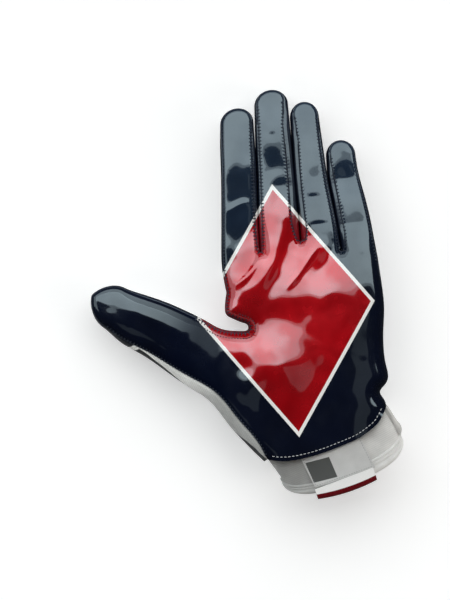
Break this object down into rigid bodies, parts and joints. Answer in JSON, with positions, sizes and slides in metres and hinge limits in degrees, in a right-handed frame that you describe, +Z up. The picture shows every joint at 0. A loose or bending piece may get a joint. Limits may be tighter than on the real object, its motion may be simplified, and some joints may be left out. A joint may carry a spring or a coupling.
{
  "type": "receiver glove",
  "caption": "Left-hand sport glove with a glossy palm panel, finger gussets, knit back and a short cuff with label patch, closure strap and pull tab.",
  "frame": {"origin": "middle of the flat patch on the back of the hand that the glove rests on", "axes": "+Y along the fingers, +X to the little-finger side, +Z up out of the palm"},
  "size_m": [0.1776, 0.2422, 0.0334],
  "materials": {
    "palm_film": "patent-gloss film on synthetic leather, printed in red with a white border",
    "back_knit": "matt light grey knit with black side patches",
    "side_knit": "satin light grey stretch cloth",
    "gusset": "dark navy film-faced stretch cloth",
    "cuff_knit": "matt light grey neoprene-like knit",
    "binding_tape": "matt pale grey folded tape",
    "strap": "matt light grey strap",
    "label_weave": "woven pale grey patch with a plain dark grey square",
    "tab_webbing": "white webbing with a dark red edge"
  },
  "bodies": {
    "root": {"palm_panel": "palm_film", "back_panel": "back_knit", "thumb_side_strip": "side_knit", "gusset_thumb_index": "gusset", "gusset_index_middle": "gusset", "gusset_middle_ring": "gusset", "gusset_ring_little": "gusset", "little_side_strip": "gusset", "cuff": "cuff_knit", "cuff_binding": "binding_tape", "closure_strap": "strap", "label": "label_weave", "pull_tab": "tab_webbing"}
  },
  "joints": []
}
